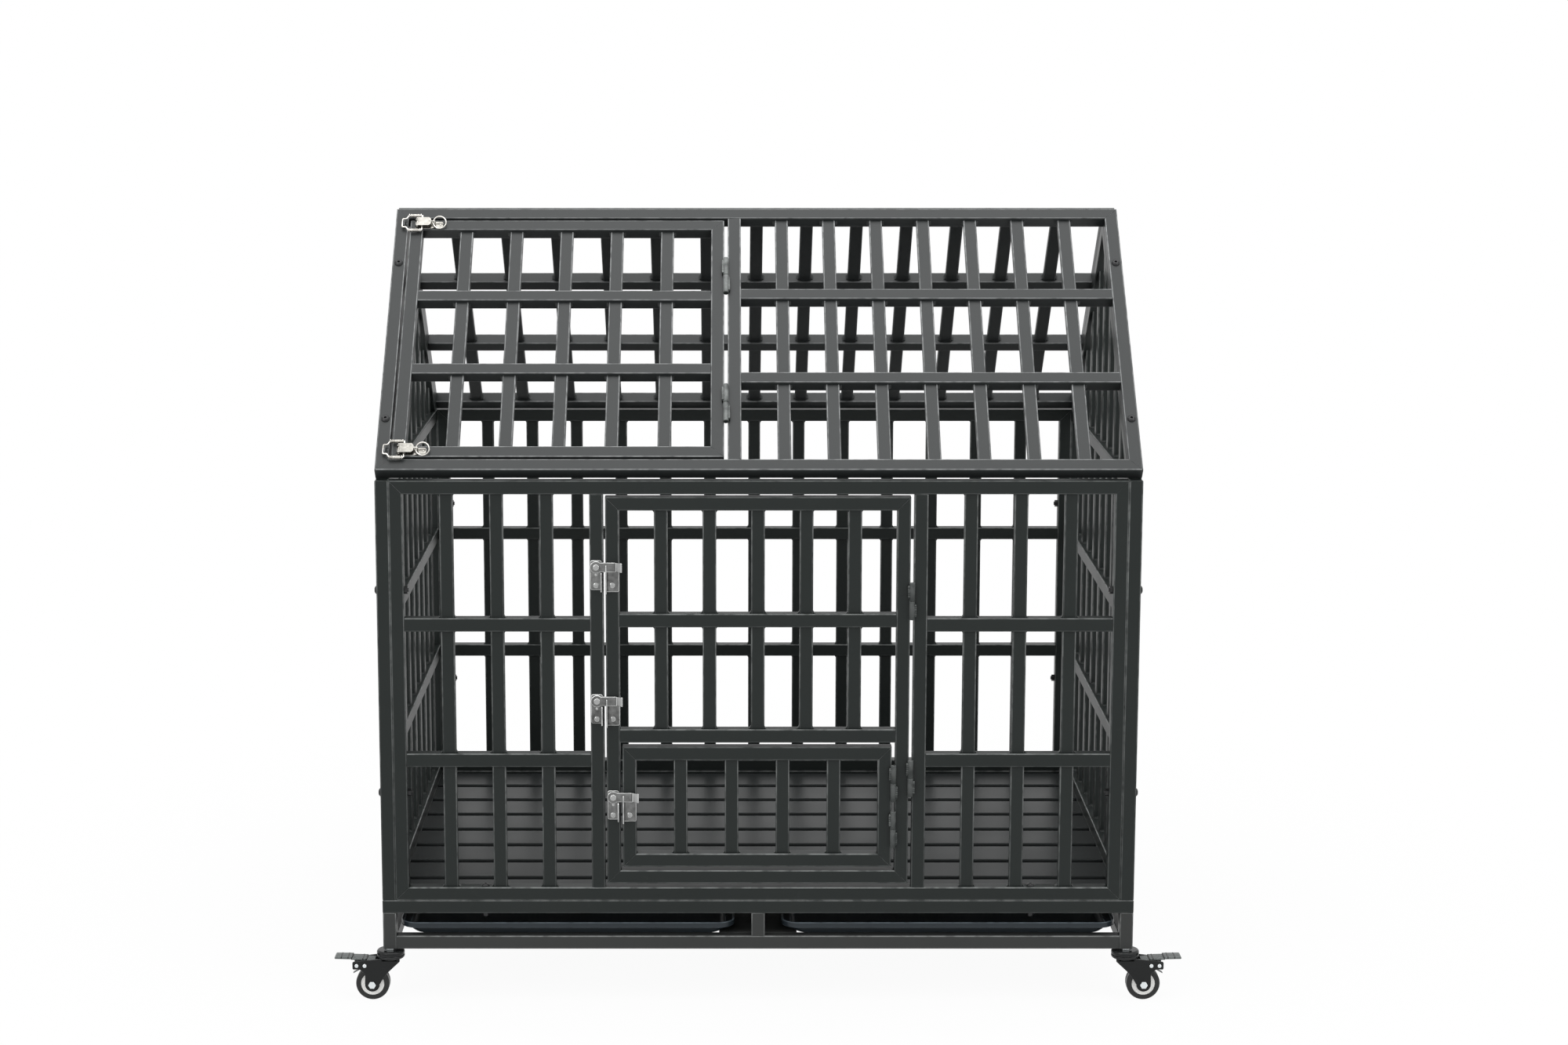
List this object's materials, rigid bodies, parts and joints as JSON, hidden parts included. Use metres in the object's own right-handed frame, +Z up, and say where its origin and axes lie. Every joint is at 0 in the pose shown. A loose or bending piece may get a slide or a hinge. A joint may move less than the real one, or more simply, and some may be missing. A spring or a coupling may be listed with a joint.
{
  "type": "dog crate",
  "caption": "House-shaped welded tube dog crate on braked casters with a latched front door, feeder door, roof hatch and pull-out trays.",
  "frame": {"origin": "on the ground plane under the middle of the crate", "axes": "+X along the front to the right, +Y from front to rear, +Z up"},
  "size_m": [1.262, 0.8076, 1.1516],
  "materials": {
    "paint": "semi-gloss charcoal powder coat",
    "roof_paint": "semi-gloss charcoal powder coat",
    "floor_paint": "smooth charcoal powder coat",
    "black_bolt": "black oxide",
    "zinc": "zinc plated",
    "latch_steel": "dull zinc plate with bright cut edges",
    "nickel": "nickel plated",
    "tray_plastic": "satin moulded plastic",
    "caster_black": "gloss black plate",
    "tyre_rubber": "smooth rubber",
    "rim_ivory": "moulded ivory plastic",
    "pedal_grey": "grained grey plastic"
  },
  "bodies": {
    "frame": {"base_frame": "paint", "floor_grate": "floor_paint", "left_side_panel": "paint", "right_side_panel": "paint", "front_panel": "paint", "front_infill": "paint", "rear_panel": "paint", "front_roof_panel": "roof_paint", "rear_roof_panel": "roof_paint", "frame_bolts": "black_bolt", "hinge_pins": "paint", "door_latch_plates": "latch_steel", "door_latch_rivets": "zinc", "roof_latch_catches": "nickel", "caster_stems": "zinc"},
    "left_tray_body": {"left_tray": "tray_plastic"},
    "right_tray_body": {"right_tray": "tray_plastic"},
    "front_door_body": {"front_door": "paint", "front_door_infill": "paint", "door_hinge_halves": "paint", "door_latch_keepers": "latch_steel", "door_screws": "zinc", "feeder_latch_plate": "latch_steel"},
    "feeder_door_body": {"feeder_door": "paint", "feeder_hinge_barrels": "paint", "feeder_latch_keeper": "latch_steel"},
    "upper_arm_body": {"upper_latch_arm": "latch_steel"},
    "lower_arm_body": {"lower_latch_arm": "latch_steel"},
    "feeder_arm_body": {"feeder_latch_arm": "latch_steel"},
    "roof_hatch_body": {"roof_hatch": "roof_paint", "hatch_hinge_barrels": "paint", "roof_latch_bases": "nickel"},
    "lower_lever_body": {"lower_latch_lever": "nickel"},
    "lower_loop_body": {"lower_latch_loop": "nickel", "lower_latch_springs": "nickel"},
    "lower_ring_body": {"lower_latch_ring": "nickel"},
    "upper_lever_body": {"upper_latch_lever": "nickel"},
    "upper_loop_body": {"upper_latch_loop": "nickel", "upper_latch_springs": "nickel"},
    "upper_ring_body": {"upper_latch_ring": "nickel"},
    "front_left_swivel": {"front_left_fork": "caster_black", "front_left_axle": "zinc"},
    "front_left_wheel": {"front_left_tyre": "tyre_rubber", "front_left_rim": "rim_ivory"},
    "front_left_brake": {"front_left_pedal": "pedal_grey"},
    "front_right_swivel": {"front_right_fork": "caster_black", "front_right_axle": "zinc"},
    "front_right_wheel": {"front_right_tyre": "tyre_rubber", "front_right_rim": "rim_ivory"},
    "front_right_brake": {"front_right_pedal": "pedal_grey"},
    "rear_left_swivel": {"rear_left_fork": "caster_black", "rear_left_axle": "zinc"},
    "rear_left_wheel": {"rear_left_tyre": "tyre_rubber", "rear_left_rim": "rim_ivory"},
    "rear_left_brake": {"rear_left_pedal": "pedal_grey"},
    "rear_right_swivel": {"rear_right_fork": "caster_black", "rear_right_axle": "zinc"},
    "rear_right_wheel": {"rear_right_tyre": "tyre_rubber", "rear_right_rim": "rim_ivory"},
    "rear_right_brake": {"rear_right_pedal": "pedal_grey"}
  },
  "joints": [
    {"name": "front_door_hinge", "type": "hinge", "parent": "frame", "child": "front_door_body", "pos_m": [0.224, -0.3968, 0.454], "axis": [0, 0, 1], "range_deg": [0, 165]},
    {"name": "feeder_door_hinge", "type": "hinge", "parent": "front_door_body", "child": "feeder_door_body", "pos_m": [0.199, -0.3968, 0.297], "axis": [0, 0, -1], "range_deg": [-165, 0]},
    {"name": "roof_hatch_hinge", "type": "hinge", "parent": "frame", "child": "roof_hatch_body", "pos_m": [-0.04775, -0.20989, 0.97335], "axis": [0, 0.7295, 0.6839], "range_deg": [0, 150]},
    {"name": "left_tray_slide", "type": "slide", "parent": "frame", "child": "left_tray_body", "axis": [0, -1, 0], "range_m": [0, 0.45]},
    {"name": "right_tray_slide", "type": "slide", "parent": "frame", "child": "right_tray_body", "axis": [0, -1, 0], "range_m": [0, 0.45]},
    {"name": "upper_latch_pivot", "type": "hinge", "parent": "frame", "child": "upper_arm_body", "pos_m": [-0.237, -0.397, 0.658], "axis": [0, -1, 0], "range_deg": [0, 95]},
    {"name": "lower_latch_pivot", "type": "hinge", "parent": "frame", "child": "lower_arm_body", "pos_m": [-0.237, -0.397, 0.458], "axis": [0, -1, 0], "range_deg": [0, 95]},
    {"name": "feeder_latch_pivot", "type": "hinge", "parent": "front_door_body", "child": "feeder_arm_body", "pos_m": [-0.214, -0.397, 0.3125], "axis": [0, -1, 0], "range_deg": [0, 95]},
    {"name": "lower_lever_pivot", "type": "hinge", "parent": "roof_hatch_body", "child": "lower_lever_body", "pos_m": [-0.524, -0.36709, 0.82735], "axis": [0, -0.7295, -0.6839], "range_deg": [0, 105]},
    {"name": "lower_loop_pivot", "type": "hinge", "parent": "lower_lever_body", "child": "lower_loop_body", "pos_m": [-0.5165, -0.36709, 0.82735], "axis": [0, -0.7295, -0.6839], "range_deg": [-120.75, 0]},
    {"name": "lower_ring_pivot", "type": "hinge", "parent": "lower_lever_body", "child": "lower_ring_body", "pos_m": [-0.4993, -0.36778, 0.82808], "axis": [0, -0.7295, -0.6839], "range_deg": [0, 90]},
    {"name": "upper_lever_pivot", "type": "hinge", "parent": "roof_hatch_body", "child": "upper_lever_body", "pos_m": [-0.524, -0.04227, 1.13187], "axis": [0, -0.7295, -0.6839], "range_deg": [0, 105]},
    {"name": "upper_loop_pivot", "type": "hinge", "parent": "upper_lever_body", "child": "upper_loop_body", "pos_m": [-0.5165, -0.04227, 1.13187], "axis": [0, -0.7295, -0.6839], "range_deg": [-120.75, 0]},
    {"name": "upper_ring_pivot", "type": "hinge", "parent": "upper_lever_body", "child": "upper_ring_body", "pos_m": [-0.4993, -0.04295, 1.1326], "axis": [0, -0.7295, -0.6839], "range_deg": [0, 90]},
    {"name": "front_left_swivel_turn", "type": "hinge", "parent": "frame", "child": "front_left_swivel", "pos_m": [-0.548, -0.383, 0.07], "axis": [0, 0, 1], "continuous": true},
    {"name": "front_left_wheel_spin", "type": "hinge", "parent": "front_left_swivel", "child": "front_left_wheel", "pos_m": [-0.575, -0.383, 0.025], "axis": [0, 1, 0], "continuous": true},
    {"name": "front_left_brake_press", "type": "hinge", "parent": "front_left_swivel", "child": "front_left_brake", "pos_m": [-0.586, -0.383, 0.054], "axis": [0, -1, 0], "range_deg": [0, 8]},
    {"name": "front_right_swivel_turn", "type": "hinge", "parent": "frame", "child": "front_right_swivel", "pos_m": [0.548, -0.383, 0.07], "axis": [0, 0, 1], "continuous": true},
    {"name": "front_right_wheel_spin", "type": "hinge", "parent": "front_right_swivel", "child": "front_right_wheel", "pos_m": [0.575, -0.383, 0.025], "axis": [0, 1, 0], "continuous": true},
    {"name": "front_right_brake_press", "type": "hinge", "parent": "front_right_swivel", "child": "front_right_brake", "pos_m": [0.586, -0.383, 0.054], "axis": [0, 1, 0], "range_deg": [0, 8]},
    {"name": "rear_left_swivel_turn", "type": "hinge", "parent": "frame", "child": "rear_left_swivel", "pos_m": [-0.548, 0.383, 0.07], "axis": [0, 0, 1], "continuous": true},
    {"name": "rear_left_wheel_spin", "type": "hinge", "parent": "rear_left_swivel", "child": "rear_left_wheel", "pos_m": [-0.575, 0.383, 0.025], "axis": [0, 1, 0], "continuous": true},
    {"name": "rear_left_brake_press", "type": "hinge", "parent": "rear_left_swivel", "child": "rear_left_brake", "pos_m": [-0.586, 0.383, 0.054], "axis": [0, -1, 0], "range_deg": [0, 8]},
    {"name": "rear_right_swivel_turn", "type": "hinge", "parent": "frame", "child": "rear_right_swivel", "pos_m": [0.548, 0.383, 0.07], "axis": [0, 0, 1], "continuous": true},
    {"name": "rear_right_wheel_spin", "type": "hinge", "parent": "rear_right_swivel", "child": "rear_right_wheel", "pos_m": [0.575, 0.383, 0.025], "axis": [0, 1, 0], "continuous": true},
    {"name": "rear_right_brake_press", "type": "hinge", "parent": "rear_right_swivel", "child": "rear_right_brake", "pos_m": [0.586, 0.383, 0.054], "axis": [0, 1, 0], "range_deg": [0, 8]}
  ],
  "couplings": [
    {"joint": "lower_loop_pivot", "follows": "lower_lever_pivot", "ratio": -1.15},
    {"joint": "upper_loop_pivot", "follows": "upper_lever_pivot", "ratio": -1.15}
  ]
}
